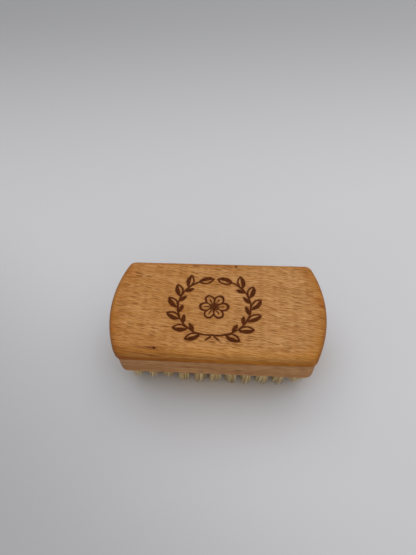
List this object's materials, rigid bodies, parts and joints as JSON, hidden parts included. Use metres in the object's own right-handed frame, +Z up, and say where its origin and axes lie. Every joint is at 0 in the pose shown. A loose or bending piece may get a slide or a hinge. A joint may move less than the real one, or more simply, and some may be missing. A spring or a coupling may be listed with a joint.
{
  "type": "nail brush",
  "caption": "Wooden nail brush: bristle tufts folded over one laced wire in a drilled board, closed by a glued-on cover board with rounded edges.",
  "frame": {"origin": "middle of the footprint of the trimmed bristle tips, in the plane that the brush stands on", "axes": "+X along the boards' length and grain, +Y across them, away from the picture's camera, +Z up from the bristle tips to the cover board"},
  "size_m": [0.08, 0.0406, 0.03],
  "materials": {
    "cover_wood": "oiled beech, satin",
    "board_wood": "raw beech, sanded",
    "wire": "drawn, bright",
    "bristle": "natural fibre, matte"
  },
  "bodies": {
    "root": {"cover_board": "cover_wood", "bristle_board": "board_wood", "draw_wire": "wire", "tuft_row1_01": "bristle", "tuft_row1_02": "bristle", "tuft_row1_03": "bristle", "tuft_row1_04": "bristle", "tuft_row1_05": "bristle", "tuft_row1_06": "bristle", "tuft_row1_07": "bristle", "tuft_row1_08": "bristle", "tuft_row1_09": "bristle", "tuft_row1_10": "bristle", "tuft_row1_11": "bristle", "tuft_row2_01": "bristle", "tuft_row2_02": "bristle", "tuft_row2_03": "bristle", "tuft_row2_04": "bristle", "tuft_row2_05": "bristle", "tuft_row2_06": "bristle", "tuft_row2_07": "bristle", "tuft_row2_08": "bristle", "tuft_row2_09": "bristle", "tuft_row2_10": "bristle", "tuft_row2_11": "bristle", "tuft_row3_01": "bristle", "tuft_row3_02": "bristle", "tuft_row3_03": "bristle", "tuft_row3_04": "bristle", "tuft_row3_05": "bristle", "tuft_row3_06": "bristle", "tuft_row3_07": "bristle", "tuft_row3_08": "bristle", "tuft_row3_09": "bristle", "tuft_row3_10": "bristle", "tuft_row3_11": "bristle", "tuft_row4_01": "bristle", "tuft_row4_02": "bristle", "tuft_row4_03": "bristle", "tuft_row4_04": "bristle", "tuft_row4_05": "bristle", "tuft_row4_06": "bristle", "tuft_row4_07": "bristle", "tuft_row4_08": "bristle", "tuft_row4_09": "bristle", "tuft_row4_10": "bristle", "tuft_row4_11": "bristle", "tuft_row5_01": "bristle", "tuft_row5_02": "bristle", "tuft_row5_03": "bristle", "tuft_row5_04": "bristle", "tuft_row5_05": "bristle", "tuft_row5_06": "bristle", "tuft_row5_07": "bristle", "tuft_row5_08": "bristle", "tuft_row5_09": "bristle", "tuft_row5_10": "bristle", "tuft_row5_11": "bristle"}
  },
  "joints": []
}
